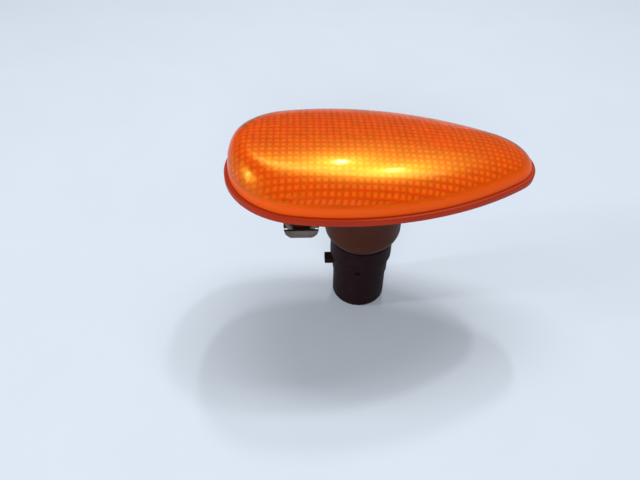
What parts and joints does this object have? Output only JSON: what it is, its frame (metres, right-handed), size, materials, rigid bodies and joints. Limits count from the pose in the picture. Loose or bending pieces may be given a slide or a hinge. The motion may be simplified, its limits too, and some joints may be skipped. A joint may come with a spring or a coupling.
{
  "type": "side repeater lamp",
  "caption": "Amber teardrop side repeater lamp for a car's front wing: domed lens on a plug-in housing with a snap spring, and a twist-lock bulb holder with its wedge bulb.",
  "frame": {"origin": "on the bulb's axis, in the plane where the panel gasket meets the wing", "axes": "+Z out of the lens along the bulb's axis, +X towards the pointed end of the lens, -Y the side with the retaining spring"},
  "size_m": [0.101, 0.056, 0.0717],
  "materials": {
    "amber_lens": "polished amber acrylic",
    "dark_housing": "moulded, fine grain",
    "gasket_rubber": "matt sponge rubber",
    "spring_steel": "plain rolled strip",
    "black_nylon": "moulded, satin",
    "seal_rubber": "matt",
    "contact_brass": "stamped",
    "clear_glass": "clear",
    "lead_wire": "drawn wire",
    "filament_wire": "drawn wire"
  },
  "bodies": {
    "lamp_body": {"lens": "amber_lens", "housing": "dark_housing", "panel_gasket": "gasket_rubber", "retaining_spring": "spring_steel"},
    "bulb_holder": {"holder_body": "black_nylon", "holder_seal": "seal_rubber", "contact_feed": "contact_brass", "contact_earth": "contact_brass", "bulb_glass": "clear_glass", "bulb_leads": "lead_wire", "bulb_filament": "filament_wire"}
  },
  "joints": [
    {"name": "holder_twist", "type": "hinge", "parent": "lamp_body", "child": "bulb_holder", "pos_m": [0, 0, -0.0252], "axis": [0, 0, -1], "range_deg": [0, 40]}
  ]
}
